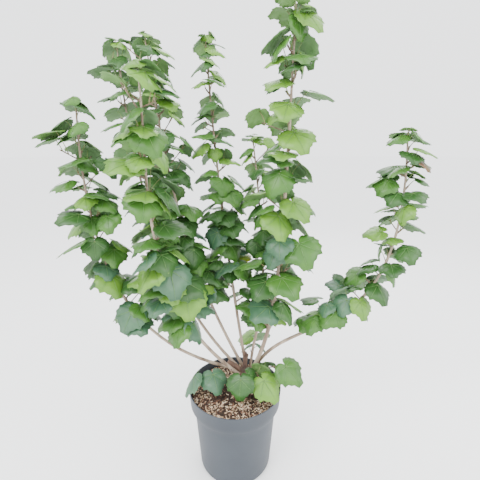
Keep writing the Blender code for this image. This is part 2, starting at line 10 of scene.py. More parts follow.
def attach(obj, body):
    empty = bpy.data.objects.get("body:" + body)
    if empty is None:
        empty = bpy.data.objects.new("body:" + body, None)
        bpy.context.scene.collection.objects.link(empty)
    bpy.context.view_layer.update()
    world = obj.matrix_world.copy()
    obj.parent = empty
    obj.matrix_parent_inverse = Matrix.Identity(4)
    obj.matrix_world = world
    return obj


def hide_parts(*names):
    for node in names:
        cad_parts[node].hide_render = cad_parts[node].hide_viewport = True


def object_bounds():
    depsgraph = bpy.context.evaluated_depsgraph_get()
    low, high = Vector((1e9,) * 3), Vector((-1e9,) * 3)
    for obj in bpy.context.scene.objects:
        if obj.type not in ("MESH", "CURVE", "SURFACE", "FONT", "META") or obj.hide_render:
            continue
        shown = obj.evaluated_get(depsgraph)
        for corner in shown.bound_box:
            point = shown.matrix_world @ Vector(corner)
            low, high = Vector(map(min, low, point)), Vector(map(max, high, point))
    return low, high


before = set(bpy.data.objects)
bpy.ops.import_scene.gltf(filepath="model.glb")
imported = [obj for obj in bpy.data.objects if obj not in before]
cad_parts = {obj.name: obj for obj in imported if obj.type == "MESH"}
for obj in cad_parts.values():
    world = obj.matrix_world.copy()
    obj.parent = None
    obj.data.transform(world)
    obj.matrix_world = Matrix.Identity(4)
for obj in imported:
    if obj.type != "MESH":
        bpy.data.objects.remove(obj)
cadBox = [list(corner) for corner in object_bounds()]
bpy.ops.object.select_all(action="DESELECT")

# camera at the photo's angle
view = {"place": (0.0145, -0.829, 0.928), "pitch": 74.74, "lens": 24.75, "sensor": 36}
bpy.ops.object.camera_add(location=view["place"], rotation=(math.radians(view["pitch"]), 0, 0))
camera = bpy.context.object
camera.data.lens = view["lens"]
camera.data.sensor_width = view["sensor"]
bpy.context.scene.camera = camera

# shader group: patches of a second colour, with roughness and height from a finer noise
mottleInputs = (
    ("Main", "NodeSocketColor", (0.5, 0.5, 0.5, 1)),
    ("Second", "NodeSocketColor", (0.2, 0.2, 0.2, 1)),
    ("Vector", "NodeSocketVector", (0, 0, 0)),
    ("Scale", "NodeSocketFloat", 20.0),
    ("Low", "NodeSocketFloat", 0.4),
    ("High", "NodeSocketFloat", 0.65),
    ("Fine", "NodeSocketFloat", 200.0),
    ("Rough", "NodeSocketFloat", 0.5),
)
mottleOutputs = (
    ("Color", "NodeSocketColor"), ("Roughness", "NodeSocketFloat"), ("Height", "NodeSocketFloat"),
)
mottleLook = {"patchDetail": 4, "fineDetail": 2, "shineSpread": 0.18}
# the mix node's colour sockets
mixSockets = {"first": 6, "second": 7, "result": 2}


def makeMottle():
    group = bpy.data.node_groups.new("mottle", "ShaderNodeTree")
    for name, kind, value in mottleInputs:
        socket = group.interface.new_socket(name=name, in_out="INPUT", socket_type=kind)
        socket.default_value = value
    for name, kind in mottleOutputs:
        group.interface.new_socket(name=name, in_out="OUTPUT", socket_type=kind)
    nodes, links = group.nodes, group.links
    start, end = nodes.new("NodeGroupInput"), nodes.new("NodeGroupOutput")
    patch, fine = nodes.new("ShaderNodeTexNoise"), nodes.new("ShaderNodeTexNoise")
    patch.inputs["Detail"].default_value = mottleLook["patchDetail"]
    fine.inputs["Detail"].default_value = mottleLook["fineDetail"]
    for pattern, scale in ((patch, "Scale"), (fine, "Fine")):
        links.new(start.outputs["Vector"], pattern.inputs["Vector"])
        links.new(start.outputs[scale], pattern.inputs["Scale"])
    spread = nodes.new("ShaderNodeMapRange")
    links.new(patch.outputs["Fac"], spread.inputs["Value"])
    links.new(start.outputs["Low"], spread.inputs["From Min"])
    links.new(start.outputs["High"], spread.inputs["From Max"])
    mix = nodes.new("ShaderNodeMix")
    mix.data_type = "RGBA"
    links.new(spread.outputs["Result"], mix.inputs["Factor"])
    links.new(start.outputs["Main"], mix.inputs[mixSockets["first"]])
    links.new(start.outputs["Second"], mix.inputs[mixSockets["second"]])
    links.new(mix.outputs[mixSockets["result"]], end.inputs["Color"])
    shine = nodes.new("ShaderNodeMath")
    shine.operation = "MULTIPLY_ADD"
    links.new(fine.outputs["Fac"], shine.inputs[0])
    shine.inputs[1].default_value = mottleLook["shineSpread"]
    links.new(start.outputs["Rough"], shine.inputs[2])
    links.new(shine.outputs["Value"], end.inputs["Roughness"])
    links.new(fine.outputs["Fac"], end.inputs["Height"])
    return group


mottle = makeMottle()
plainLook = dict(
    scale=20, low=0.4, high=0.65, fine=200, rough=0.4, bump=0.2, depth=0.001, stretch=(1, 1, 1), specular=0.4,
)


def makeFinish(name, main, second, **changes):
    look = {**plainLook, **changes}
    finish = bpy.data.materials.new(name)
    finish.use_nodes = True
    nodes, links = finish.node_tree.nodes, finish.node_tree.links
    shader = nodes["Principled BSDF"]
    shader.inputs["Specular IOR Level"].default_value = look["specular"]
    where, place = nodes.new("ShaderNodeTexCoord"), nodes.new("ShaderNodeMapping")
    patches, relief = nodes.new("ShaderNodeGroup"), nodes.new("ShaderNodeBump")
    patches.node_tree = mottle
    place.inputs["Scale"].default_value = look["stretch"]
    links.new(where.outputs["Object"], place.inputs["Vector"])
    links.new(place.outputs["Vector"], patches.inputs["Vector"])
    patches.inputs["Main"].default_value = (*main, 1)
    patches.inputs["Second"].default_value = (*second, 1)
    for socket in ("Scale", "Low", "High", "Fine", "Rough"):
        patches.inputs[socket].default_value = look[socket.lower()]
    relief.inputs["Strength"].default_value = look["bump"]
    relief.inputs["Distance"].default_value = look["depth"]
    links.new(patches.outputs["Height"], relief.inputs["Height"])
    links.new(patches.outputs["Color"], shader.inputs["Base Color"])
    links.new(patches.outputs["Roughness"], shader.inputs["Roughness"])
    links.new(relief.outputs["Normal"], shader.inputs["Normal"])
    return finish


# leaf tints, each a face and a paler underside
leafTints = {
    "deepLeaf": ((0.026, 0.084, 0.016), (0.040, 0.118, 0.022)),
    "midLeaf": ((0.046, 0.138, 0.020), (0.068, 0.178, 0.026)),
    # the fresh light green is partly young leaves and partly a painted backlight glow
    "freshLeaf": ((0.105, 0.240, 0.026), (0.138, 0.292, 0.034)),
    # the bluish tint is a painted sky reflection on the tops of low leaves
    "blueLeaf": ((0.046, 0.118, 0.060), (0.070, 0.160, 0.084)),
    "yellowLeaf": ((0.36, 0.40, 0.04), (0.22, 0.33, 0.04)),
    "deadLeaf": ((0.16, 0.075, 0.03), (0.09, 0.045, 0.02)),
}
leafFace = dict(scale=26, fine=420, rough=0.30, bump=0.25, depth=0.0006)
leafUnder = dict(scale=40, fine=420, rough=0.55, bump=0.2, depth=0.0005)
underside = {"green": (0.13, 0.23, 0.10), "own": 0.45, "patch": 1.25}
leafFinishes, faceNumber = [], {}
for name, (main, second) in leafTints.items():
    faceNumber[name] = len(leafFinishes)
    leafFinishes.append(makeFinish(name, main, second, **leafFace))
    own = underside["own"]
    under = tuple(own * a + (1 - own) * b for a, b in zip(main, underside["green"]))
    patch = tuple(underside["patch"] * c for c in under)
    leafFinishes.append(makeFinish(name + "Under", under, patch, **leafUnder))
veinFinish = makeFinish("leafVein", (0.11, 0.24, 0.07), (0.16, 0.30, 0.09), scale=60, rough=0.45)
petioleFinish = makeFinish("petiole", (0.17, 0.26, 0.08), (0.26, 0.20, 0.10), scale=30, rough=0.45)
twigFinish = makeFinish(
    "twig", (0.22, 0.16, 0.11), (0.12, 0.08, 0.055), scale=70, fine=300, rough=0.65, bump=0.5,
)
barkFinish = makeFinish(
    "bark", (0.44, 0.35, 0.27), (0.20, 0.14, 0.10), scale=46, low=0.36, high=0.66, fine=330,
    rough=0.60, bump=0.7, depth=0.0012, stretch=(1, 1, 0.28),
)
oldBarkFinish = makeFinish(
    "oldBark", (0.17, 0.10, 0.07), (0.06, 0.035, 0.028), scale=60, fine=300,
    rough=0.7, bump=0.8, depth=0.0015, stretch=(1, 1, 0.4),
)
potFinish = makeFinish(
    "potPlastic", (0.046, 0.055, 0.068), (0.038, 0.045, 0.056), scale=9, low=0.35, high=0.7, fine=900,
    rough=0.42, bump=0.08, depth=0.0003,
)
peatFinish = makeFinish(
    "peat", (0.022, 0.013, 0.009), (0.060, 0.034, 0.022), scale=90, fine=260,
    rough=0.85, bump=1.0, depth=0.004,
)
chipFinishes = [
    makeFinish("chipTan", (0.60, 0.43, 0.28), (0.46, 0.31, 0.19), scale=120, rough=0.7, bump=0.4),
    makeFinish("chipPale", (0.76, 0.62, 0.46), (0.62, 0.47, 0.32), scale=120, rough=0.7, bump=0.4),
    makeFinish("chipBrown", (0.20, 0.10, 0.06), (0.12, 0.06, 0.04), scale=120, rough=0.75, bump=0.4),
    makeFinish("chipDark", (0.05, 0.028, 0.02), (0.08, 0.04, 0.03), scale=120, rough=0.85, bump=0.4),
]
print("finishes made")

# the bush, by the same rule and sizes as the solids; lengths in metres, angles in degrees
pot = {
    "rim": 0.135, "height": 0.260, "foot": 0.106, "bandHeight": 0.049, "bandFoot": 0.1315, "shoulder": 0.1205,
}
soil = {"middle": 0.242, "edge": 0.236, "radius": 0.1275}
stool = {"x": 0.034, "y": 0.030}

# canes: foot and tip are points, leave and arrive the run, tilt and bearing of the curve's ends
wood = {"gap": 0.0003, "tip": 0.0018, "step": 0.045, "samples": 81, "taper": 0.9, "clearance": 0.0012}
canes = {
    "far_left": dict(
        foot=(0.020, 0.030, 0.284), tip=(-0.362, -0.017, 1.030),
        leave=(0.175, 78, 173), arrive=(0.598, -4, -178),
        thick=0.0100, bare=0.36, near=0.070, far=0.050, gap=0.062, seed=11,
    ),
    "front_left": dict(
        foot=(0.022, 0.014, 0.276), tip=(-0.176, -0.157, 1.075),
        leave=(0.400, 50, -176), arrive=(0.150, 8, -128),
        thick=0.0105, bare=0.24, near=0.076, far=0.056, gap=0.045, seed=23,
    ),
    "rear_left": dict(
        foot=(0.022, 0.046, 0.272), tip=(-0.329, 0.200, 1.215),
        leave=(0.290, 50, 165), arrive=(0.450, 13, 116),
        thick=0.0095, bare=0.26, near=0.066, far=0.048, gap=0.046, seed=37,
    ),
    "rear_middle_left": dict(
        foot=(0.028, 0.043, 0.280), tip=(-0.241, 0.170, 1.220),
        leave=(0.300, 29, 165), arrive=(0.488, 12, 127),
        thick=0.0095, bare=0.24, near=0.066, far=0.048, gap=0.044, seed=41,
    ),
    "rear": dict(
        foot=(0.035, 0.047, 0.270), tip=(-0.085, 0.235, 1.236),
        leave=(0.260, 15, 130), arrive=(0.420, 11, 112),
        thick=0.0095, bare=0.20, near=0.066, far=0.046, gap=0.044, seed=53,
    ),
    "front_right": dict(
        foot=(0.042, 0.022, 0.270), tip=(0.124, -0.086, 1.205),
        leave=(0.162, 21, -25), arrive=(0.787, 10, -94),
        thick=0.0125, bare=0.17, near=0.074, far=0.054, gap=0.040, seed=67,
    ),
    "right": dict(
        foot=(0.050, 0.031, 0.262), tip=(0.416, 0.001, 0.970),
        leave=(0.251, 12, -3), arrive=(0.655, -8, 14),
        thick=0.0105, bare=0.26, near=0.062, far=0.046, gap=0.050, seed=79,
    ),
    "rear_right": dict(
        foot=(0.045, 0.044, 0.268), tip=(0.052, 0.172, 0.960),
        leave=(0.205, 12, 70), arrive=(0.600, 13, 120),
        thick=0.0090, bare=0.22, near=0.064, far=0.044, gap=0.050, seed=83,
    ),
}


def bearingVector(tilt, bearing):
    flat = math.sin(tilt)
    return Vector((flat * math.cos(bearing), flat * math.sin(bearing), math.cos(tilt)))


def even(points, count):
    ends = [0.0]
    for a, b in zip(points, points[1:]):
        ends.append(ends[-1] + (b - a).length)
    spaced, k = [], 0
    for i in range(count):
        want = ends[-1] * i / (count - 1)
        while k < len(points) - 2 and ends[k + 1] < want:
            k += 1
        share = (want - ends[k]) / (ends[k + 1] - ends[k])
        spaced.append(points[k].lerp(points[k + 1], share))
    return spaced


def curve(foot, leave, arrive, tip, samples):
    rough = []
    for i in range(samples):
        t = i / (samples - 1)
        u = 1 - t
        rough.append(u**3 * foot + 3 * u * u * t * leave + 3 * u * t * t * arrive + t**3 * tip)
    return even(rough, samples)


def caneCurve(cane):
    foot, tip = Vector(cane["foot"]), Vector(cane["tip"])
    run, tilt, bearing = cane["leave"]
    leave = foot + run * bearingVector(math.radians(tilt), math.radians(bearing))
    run, tilt, bearing = cane["arrive"]
    arrive = tip - run * bearingVector(math.radians(tilt), math.radians(bearing))
    return curve(foot, leave, arrive, tip, wood["samples"])


def lengthOf(points):
    return sum((b - a).length for a, b in zip(points, points[1:]))


def at(points, share):
    place = min(max(share, 0.0), 1.0) * (len(points) - 1)
    k = min(int(place), len(points) - 2)
    direction = (points[min(k + 2, len(points) - 1)] - points[max(k - 1, 0)]).normalized()
    return points[k].lerp(points[k + 1], place - k), direction


def caneRadius(cane, share):
    foot = cane["thick"] / 2
    return wood["tip"] + (foot - wood["tip"]) * max(0.0, 1 - share) ** wood["taper"]


def tube(path, radii, sides, directions=None):
    points, faces = [], []
    if directions is None:
        directions = [at(path, i / (len(path) - 1))[1] for i in range(len(path))]
    side = directions[0].orthogonal().normalized()
    for i, (centre, direction, radius) in enumerate(zip(path, directions, radii)):
        if i:
            side = directions[i - 1].rotation_difference(direction) @ side
        up = direction.cross(side)
        for k in range(sides):
            turn = math.tau * k / sides
            points.append(centre + radius * (math.cos(turn) * side + math.sin(turn) * up))
    for i in range(len(path) - 1):
        for k in range(sides):
            a, b = i * sides + k, i * sides + (k + 1) % sides
            faces.append((a, b, b + sides, a + sides))
    faces.append(tuple(reversed(range(sides))))
    faces.append(tuple(range((len(path) - 1) * sides, len(path) * sides)))
    return points, faces


def stretch(cane, path, start, end):
    whole = lengthOf(path)
    count = max(2, round((end - start) / wood["step"]) + 1)
    shares = [(start + (end - start) * i / (count - 1)) / whole for i in range(count)]
    places = [at(path, share) for share in shares]
    return [p for p, way in places], [caneRadius(cane, share) for share in shares], [way for p, way in places]


# leaves: a coarse blade keeps their places free; its outline is one half, as shares of the length
petiole = {"radius": 0.0012, "length": 0.038, "forBlade": 0.066, "reach": 0.6, "middle": 0.9, "root": 1.1}
coarseLeaf = {
    "outline": [(0.30, -0.15), (0.56, 0.10), (0.57, 0.44), (0.31, 0.56)],
    "ribs": (0.30, 0.62), "thick": 0.0020, "faces": 27, "grow": 1.04,
}


def leafFrame(leaf):
    ahead = bearingVector(math.pi / 2 + leaf["pitch"], leaf["bearing"])
    side = Vector((math.sin(leaf["bearing"]), -math.cos(leaf["bearing"]), 0))
    turn = Quaternion(ahead, leaf["roll"])
    return ahead, turn @ side, turn @ side.cross(ahead)


def onBlade(leaf, sideShare, forwardShare, lift):
    ahead, side, up = leafFrame(leaf)
    size, bend, fold = leaf["size"], leaf["bend"], leaf["fold"]
    turn = bend * forwardShare
    along = size * math.sin(turn) / bend
    drop = size * (1 - math.cos(turn)) / bend
    normal = math.sin(turn) * ahead + math.cos(turn) * up
    out = sideShare * size
    spread = out * math.cos(fold) * side - abs(out) * math.sin(fold) * normal
    return leaf["base"] + along * ahead - drop * up + spread + lift * normal


def petiolePath(leaf):
    root, base = leaf["root"], leaf["base"]
    ahead = leafFrame(leaf)[0]
    rise = leaf["arch"] * (base - root).length * (Vector((0, 0, 1)) - petiole["reach"] * ahead)
    return [root, root.lerp(base, 0.5) + rise, base]


def bladeShell(leaf, thickness, grow=1.0):
    half = thickness / 2
    right = [(side * grow, ahead * grow) for side, ahead in coarseLeaf["outline"]]
    left = [(-side, ahead) for side, ahead in right]
    neck = petiole["radius"] / leaf["size"]
    points = [onBlade(leaf, -neck, 0, half * 0.5), onBlade(leaf, neck, 0, half * 0.5)]
    points.append(onBlade(leaf, 0, 0, -2 * petiole["radius"]))
    points += [onBlade(leaf, side, ahead, 0) for side, ahead in left]
    points += [onBlade(leaf, side, ahead, 0) for side, ahead in right]
    points.append(onBlade(leaf, 0, grow, 0))
    points += [onBlade(leaf, 0, station, half) for station in coarseLeaf["ribs"]]
    points += [onBlade(leaf, 0, station, -half) for station in coarseLeaf["ribs"]]
    neckLeft, neckRight, keel, tip = 0, 1, 2, 11
    faces = []
    for hand, neckEnd, first in (("left", neckLeft, 3), ("right", neckRight, 7)):
        basal, outer, lobe, sinus = range(first, first + 4)
        for upper, near, far in ((True, 12, 13), (False, 14, 15)):
            ring = [
                (neckEnd, basal, near),
                (basal, outer, near),
                (outer, lobe, near),
                (near, lobe, far),
                (lobe, sinus, far),
                (sinus, tip, far),
            ]
            flip = (hand == "left") == upper
            faces += [tuple(reversed(face)) if flip else face for face in ring]
    faces += [(neckLeft, neckRight, 12), (keel, neckLeft, 14), (neckRight, keel, 14)]
    root, middle, base = petiolePath(leaf)
    ring = [neckLeft, neckRight, keel]
    centre = (points[neckLeft] + points[neckRight] + points[keel]) / 3
    spokes = [points[i] - centre for i in ring]
    for end, before, thin in ((middle, base, petiole["middle"]), (root, middle, petiole["root"])):
        start = len(points)
        turn = (base - middle).rotation_difference(before - end)
        points += [end + thin * (turn @ spoke) for spoke in spokes]
        fresh = list(range(start, start + 3))
        for k in range(3):
            a, b = ring[k], ring[(k + 1) % 3]
            c, d = fresh[(k + 1) % 3], fresh[k]
            faces += [(b, a, d, c)]
        ring = fresh
    faces.append(tuple(reversed(ring)))
    return points, faces


# the crown keeps every limb and leaf grown so far, and gives a new leaf a free place near its own
potRoom = {"over": 0.004, "soil": 0.006, "rim": 0.012}
search = {
    "tries": 14, "swing": 0.25, "swingStep": 0.07, "pitch": 0.3, "flattest": -0.3, "steepest": 1.25,
    "shrink": 0.975, "lift": (-0.006, 0.008),
}


def proxy(points, faces, only=None):
    used = faces if only is None else faces[:only]
    middle = sum(points, Vector()) / len(points)
    reach = max((p - middle).length for p in points)
    return dict(tree=BVHTree.FromPolygons([tuple(p) for p in points], used), middle=middle, reach=reach)


def meets(one, other):
    apart = (one["middle"] - other["middle"]).length
    return apart < one["reach"] + other["reach"] and bool(one["tree"].overlap(other["tree"]))


def clearOfPot(points):
    for p in points:
        out = math.hypot(p.x, p.y)
        if p.z < pot["height"] + potRoom["over"] and out < pot["rim"] + potRoom["over"]:
            if p.z < soil["middle"] + potRoom["soil"] or out > pot["rim"] - potRoom["rim"]:
                return False
    return True


class Crown:
    def __init__(self):
        self.limbs = []
        self.leaves = []

    def addLimb(self, label, path, radii, directions=None):
        points, faces = tube(path, [r + wood["clearance"] for r in radii], 6, directions)
        self.limbs.append((label, proxy(points, faces)))

    def roomForSpur(self, owner, spur):
        points, faces = tube(spur["path"], [r + wood["clearance"] for r in spur["radii"]], 6)
        made = proxy(points, faces)
        for label, limb in self.limbs:
            if label != owner and meets(made, limb):
                return False
        return not any(meets(made, whole) for cluster, whole, blade in self.leaves)

    def free(self, owner, cluster, leaf):
        points, faces = bladeShell(leaf, coarseLeaf["thick"] + wood["clearance"], coarseLeaf["grow"])
        if not clearOfPot(points):
            return None
        whole, blade = proxy(points, faces), proxy(points, faces, coarseLeaf["faces"])
        for label, limb in self.limbs:
            if meets(blade if label in (owner, cluster) else whole, limb):
                return None
        for label, other, otherBlade in self.leaves:
            if label != cluster:
                if meets(whole, other):
                    return None
            elif meets(blade, other) or meets(whole, otherBlade):
                return None
        return whole, blade

    def place(self, owner, cluster, leaf, rng):
        for k in range(search["tries"]):
            made = self.free(owner, cluster, leaf)
            if made:
                self.leaves.append((cluster, *made))
                return leaf
            leaf = dict(leaf)
            swing = rng.uniform(-1, 1) * (search["swing"] + search["swingStep"] * k)
            leaf["bearing"] += swing
            pitch = leaf["pitch"] + rng.uniform(-search["pitch"], search["pitch"])
            leaf["pitch"] = min(search["steepest"], max(search["flattest"], pitch))
            leaf["size"] *= search["shrink"]
            reach = leaf["base"] - leaf["root"]
            leaf["base"] = leaf["root"] + Matrix.Rotation(swing, 3, "Z") @ reach
            leaf["base"].z += rng.uniform(*search["lift"])
        return None


# how a leaf stands on its twig; vigour lifts the leaves near a cane's tip
leafHabit = {
    "rise": (28, 62), "riseVigour": 0.25, "lean": 0.35, "lift": 0.75, "swing": 0.35, "pitch": (8, 58),
    "pitchVigour": 0.35, "roll": 22, "bend": (14, 46), "fold": (4, 24), "arch": (0.04, 0.14),
}


def newLeaf(rng, root, direction, bearing, size, stalk, vigour):
    habit = leafHabit
    rise = math.radians(rng.uniform(*habit["rise"])) + habit["riseVigour"] * vigour
    out = Vector((math.cos(bearing), math.sin(bearing), 0))
    upward = habit["lean"] * direction + Vector((0, 0, habit["lift"]))
    reach = math.cos(rise) * out + math.sin(rise) * upward
    return dict(
        root=root,
        base=root + stalk * reach.normalized(),
        bearing=bearing + rng.uniform(-habit["swing"], habit["swing"]),
        pitch=math.radians(rng.uniform(*habit["pitch"])) - habit["pitchVigour"] * vigour,
        roll=math.radians(rng.uniform(-habit["roll"], habit["roll"])),
        bend=math.radians(rng.uniform(*habit["bend"])),
        fold=math.radians(rng.uniform(*habit["fold"])),
        arch=rng.uniform(*habit["arch"]),
        size=size,
    )


# spurs up a cane, each with a few leaves, and a tuft at the tip
goldenAngle = 137.5
spurHabit = {
    "radius": 0.0026, "widths": (1.05, 0.9, 1.0), "first": 0.020, "last": 0.035, "turn": 18, "tilt": (42, 66),
    "least": 0.010, "more": 0.026, "fade": 0.022, "lengths": (0.4, 1.3), "closer": 0.42, "gaps": (0.85, 1.15),
}
spurLeaves = {
    "low": 3, "middle": 2, "high": (1, 2, 2), "lowTo": 0.35, "highFrom": 0.55, "fan": 74, "swing": 0.25,
    "start": 0.86, "step": 0.26, "sizes": (0.82, 1.12), "stalks": (0.75, 1.3), "vigour": 0.6,
}
tuft = {
    "leaves": 6, "below": 0.030, "step": 0.005, "shrink": 0.13, "sizes": (0.9, 1.05),
    "stalk": 0.030, "stalkShrink": 0.08, "vigour": 0.7, "vigourStep": 0.12,
}


def bladeSize(cane, height):
    return cane["near"] + (cane["far"] - cane["near"]) * height


def straightTwig(root, end, radius, widths):
    return dict(path=[root, root.lerp(end, 0.5), end], radii=[radius * w for w in widths])


def growCane(crown, name, cane):
    rng = random.Random(cane["seed"])
    path = canePaths[name]
    whole = lengthOf(path)
    spurs, leaves = [], []
    place = cane["bare"] * whole + spurHabit["first"]
    bearing = rng.uniform(0, math.tau)
    while place < whole - spurHabit["last"]:
        share = place / whole
        height = (share - cane["bare"]) / (1 - cane["bare"])
        root, direction = at(path, share)
        bearing += math.radians(goldenAngle + rng.uniform(-spurHabit["turn"], spurHabit["turn"]))
        size = bladeSize(cane, height)
        count = spurLeaves["low"] if height < spurLeaves["lowTo"] else spurLeaves["middle"]
        if height > spurLeaves["highFrom"]:
            count = rng.choice(spurLeaves["high"])
        extra = spurHabit["more"] - spurHabit["fade"] * height
        spurLength = spurHabit["least"] + extra * rng.uniform(*spurHabit["lengths"])
        tilt = math.radians(rng.uniform(*spurHabit["tilt"]))
        spurEnd = root + spurLength * bearingVector(tilt, bearing)
        spur = straightTwig(root, spurEnd, spurHabit["radius"], spurHabit["widths"])
        cluster = f"{name} spur {len(spurs)}"
        if crown.roomForSpur(name, spur):
            crown.addLimb(cluster, spur["path"], spur["radii"])
            spurs.append(spur)
        else:
            count = 0
        for k in range(count):
            fan = (k - (count - 1) / 2) * math.radians(spurLeaves["fan"])
            fan += rng.uniform(-spurLeaves["swing"], spurLeaves["swing"])
            start = root.lerp(spurEnd, spurLeaves["start"] - spurLeaves["step"] * k)
            grown = size * rng.uniform(*spurLeaves["sizes"])
            stalk = petiole["length"] * rng.uniform(*spurLeaves["stalks"]) * grown / petiole["forBlade"]
            vigour = height * spurLeaves["vigour"]
            leaf = newLeaf(rng, start, direction, bearing + fan, grown, stalk, vigour)
            placed = crown.place(name, cluster, leaf, rng)
            if placed:
                leaves.append(placed)
        place += cane["gap"] * (1 - spurHabit["closer"] * height) * rng.uniform(*spurHabit["gaps"])
    for k in range(tuft["leaves"]):
        share = 1 - (tuft["below"] - tuft["step"] * k) / whole
        root, direction = at(path, share)
        bearing += math.radians(goldenAngle)
        grown = cane["far"] * (1 - tuft["shrink"] * k) * rng.uniform(*tuft["sizes"])
        stalk, vigour = tuft["stalk"] * (1 - tuft["stalkShrink"] * k), tuft["vigour"] + tuft["vigourStep"] * k
        leaf = newLeaf(rng, root, direction, bearing, grown, stalk, vigour)
        placed = crown.place(name, name + " tip", leaf, rng)
        if placed:
            leaves.append(placed)
    return spurs, leaves


# low shoots from the stool
shoots = {
    "left": dict(bearing=200, reach=0.120, rise=0.034, start=0.018, blade=0.066, leaves=2, seed=5),
    "front": dict(bearing=-62, reach=0.055, rise=0.045, start=0.018, blade=0.068, leaves=2, seed=8),
    "front_left": dict(bearing=-100, reach=0.060, rise=0.060, start=0.018, blade=0.058, leaves=3, seed=3),
    "right": dict(bearing=-30, reach=0.085, rise=0.072, start=0.018, blade=0.068, leaves=4, seed=9),
    "rear": dict(bearing=72, reach=0.085, rise=0.065, start=0.018, blade=0.062, leaves=4, seed=12),
}
shootStem = {
    "foot": 0.0212, "radius": 0.0024, "taper": 0.45, "samples": 25, "rise": 0.5, "leave": 0.45, "arrive": 0.4,
}
shootLeaves = {
    "first": 0.97, "spread": 0.62, "turn": (50, 80), "shrink": 0.09, "stalk": 0.026, "vigour": 0.1,
    "pitch": (30, 50),
}


def shootCurve(shoot):
    bearing = math.radians(shoot["bearing"])
    foot = Vector((stool["x"], stool["y"], soil["middle"] + shoot["start"]))
    out = Vector((math.cos(bearing), math.sin(bearing), 0))
    foot += out * shootStem["foot"]
    end = foot + shoot["reach"] * out + Vector((0, 0, shoot["rise"]))
    steep = Vector((0, 0, shootStem["rise"] + shoot["rise"] / shoot["reach"]))
    leave = foot + shootStem["leave"] * shoot["reach"] * (out + steep)
    arrive = end - shootStem["arrive"] * shoot["reach"] * out
    return curve(foot, leave, arrive, end, shootStem["samples"])


def shootRings(path, steps):
    radii = [shootStem["radius"] * (1 - shootStem["taper"] * k / steps) for k in range(steps + 1)]
    return [at(path, k / steps)[0] for k in range(steps + 1)], radii


def growShoot(crown, name, shoot):
    rng = random.Random(shoot["seed"])
    path = shootPaths[name]
    bearing = math.radians(shoot["bearing"])
    leaves = []
    for k in range(shoot["leaves"]):
        share = shootLeaves["first"] - shootLeaves["spread"] * k / max(1, shoot["leaves"])
        root, direction = at(path, share)
        turn = 0 if k == 0 else (1 if k % 2 else -1) * math.radians(rng.uniform(*shootLeaves["turn"]))
        size = shoot["blade"] * (1 - shootLeaves["shrink"] * k)
        stalk, vigour = shootLeaves["stalk"], shootLeaves["vigour"]
        leaf = newLeaf(rng, root, direction, bearing + turn, size, stalk, vigour)
        leaf["pitch"] = math.radians(rng.uniform(*shootLeaves["pitch"]))
        placed = crown.place(name, name + " tip", leaf, rng)
        if placed:
            leaves.append(placed)
    return leaves


crown = Crown()
canePaths, shootPaths, grown = {}, {}, {}
for name, cane in canes.items():
    canePaths[name] = caneCurve(cane)
    whole = lengthOf(canePaths[name])
    split = cane["bare"] * whole
    crown.addLimb("cane_" + name, *stretch(cane, canePaths[name], 0, split))
    crown.addLimb(name, *stretch(cane, canePaths[name], split + wood["gap"], whole))
for name, shoot in shoots.items():
    shootPaths["low_" + name] = shootCurve(shoot)
    crown.addLimb("low_" + name, *shootRings(shootPaths["low_" + name], 4))
for name, shoot in shoots.items():
    grown["low_" + name] = ([], growShoot(crown, "low_" + name, shoot))
for name, cane in canes.items():
    grown[name] = growCane(crown, name, cane)

# finer growth between the spurs: short twigs, each with two or three smaller leaves
fine = {
    "first": 0.30, "last": 0.05, "gap": 0.0165, "gaps": (0.8, 1.2), "turn": 25, "tilt": (40, 72),
    "length": 0.020, "lengths": (0.6, 3.4), "thick": 0.0015, "widths": (1.1, 0.9, 1.0), "seed": 100,
}
fineLeaves = {
    "low": 3, "high": 2, "lowTo": 0.35, "size": 0.96, "sizes": (0.75, 1.15), "stalks": (0.8, 1.4),
    "start": 0.95, "step": 0.3, "fan": 1.2, "vigour": 0.6, "past": 0.003,
}


def insideBox(leaf):
    points = bladeShell(leaf, coarseLeaf["thick"], coarseLeaf["grow"])[0]
    past = fineLeaves["past"]
    return all(low - past < c < high + past for p in points for c, low, high in zip(p, *cadBox))


def growFine(crown, name, cane):
    rng = random.Random(cane["seed"] + fine["seed"])
    path = canePaths[name]
    whole = lengthOf(path)
    twigs, leaves = [], []
    place, bearing = cane["bare"] * whole * fine["first"], rng.uniform(0, math.tau)
    while place < whole - fine["last"]:
        share = place / whole
        height = max(0.0, (share - cane["bare"]) / (1 - cane["bare"]))
        root, direction = at(path, share)
        bearing += math.radians(goldenAngle + rng.uniform(-fine["turn"], fine["turn"]))
        length = fine["length"] * rng.uniform(*fine["lengths"])
        end = root + length * bearingVector(math.radians(rng.uniform(*fine["tilt"])), bearing)
        twig = straightTwig(root, end, fine["thick"], fine["widths"])
        cluster = f"{name} fine {len(twigs)}"
        place += fine["gap"] * rng.uniform(*fine["gaps"])
        if not crown.roomForSpur(name, twig):
            continue
        crown.addLimb(cluster, twig["path"], twig["radii"])
        kept = []
        for k in range(fineLeaves["low"] if height < fineLeaves["lowTo"] else fineLeaves["high"]):
            size = bladeSize(cane, height) * fineLeaves["size"] * rng.uniform(*fineLeaves["sizes"])
            stalk = petiole["length"] * rng.uniform(*fineLeaves["stalks"]) * size / petiole["forBlade"]
            start = root.lerp(end, fineLeaves["start"] - fineLeaves["step"] * k)
            turned = bearing + (k - 0.5) * fineLeaves["fan"]
            leaf = newLeaf(rng, start, direction, turned, size, stalk, height * fineLeaves["vigour"])
            placed = crown.place(name, cluster, leaf, rng)
            if placed and insideBox(placed):
                kept.append(placed)
        if kept:
            twigs.append(twig)
            leaves += kept
    return twigs, leaves


fineTwigs = {}
for name, cane in canes.items():
    fineTwigs[name], more = growFine(crown, name, cane)
    grown[name][1].extend(more)
print("grown", sum(len(leaves) for spurs, leaves in grown.values()), "leaves")


